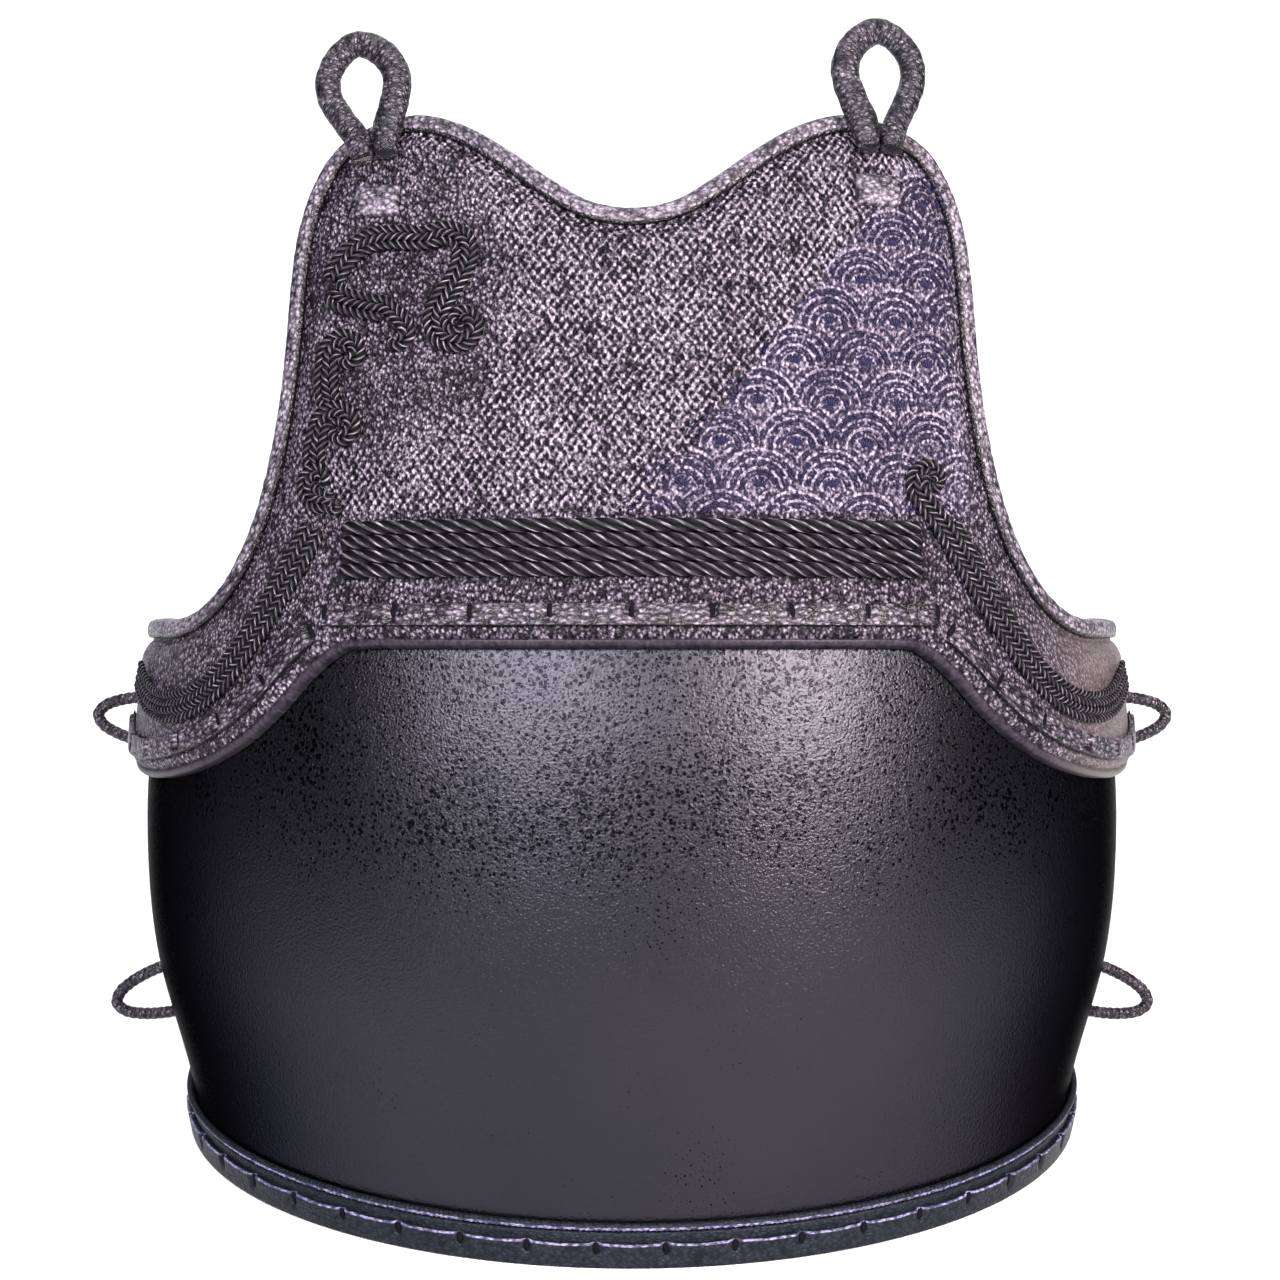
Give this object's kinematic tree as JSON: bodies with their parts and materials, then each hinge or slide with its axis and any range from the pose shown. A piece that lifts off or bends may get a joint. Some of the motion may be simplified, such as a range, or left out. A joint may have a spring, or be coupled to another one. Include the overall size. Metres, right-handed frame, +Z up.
{
  "type": "kendo chest protector",
  "caption": "Kendo chest protector: a hollow black lacquered belly shell with a laced leather chest plate, raised cord ornament and tying loops.",
  "frame": {"origin": "under the middle of the whole, on the plane that the rim rests on", "axes": "+Z up with the rim flat on the floor, -Y the way that the wearer faces, +X to the right seen from the front"},
  "size_m": [0.4612, 0.2412, 0.4446],
  "materials": {
    "lacquered_shell": "black lacquer, satin, with fine raised glossy specks",
    "plate_leather": "grained aubergine black leather, quilted with small stitches",
    "trim_leather": "soft grained dark leather with a faint violet sheen",
    "braided_cord": "matt black twisted cord"
  },
  "bodies": {
    "root": {"do_shell": "lacquered_shell", "rim_binding": "trim_leather", "rim_piping": "trim_leather", "rim_thong": "trim_leather", "chest_plate": "plate_leather", "edge_binding": "trim_leather", "thong_centre": "trim_leather", "thong_wing_right": "trim_leather", "thong_wing_left": "trim_leather", "braid_row_1": "braided_cord", "braid_row_2": "braided_cord", "braid_row_3": "braided_cord", "braid_row_4": "braided_cord", "wing_cord_left": "braided_cord", "wing_cord_right": "braided_cord", "cloud_cord": "braided_cord", "shoulder_loop_left": "trim_leather", "loop_keeper_left": "trim_leather", "shoulder_loop_right": "trim_leather", "loop_keeper_right": "trim_leather", "side_loop_upper_left": "trim_leather", "side_loop_upper_right": "trim_leather", "side_loop_lower_left": "trim_leather", "side_loop_lower_right": "trim_leather"}
  },
  "joints": []
}
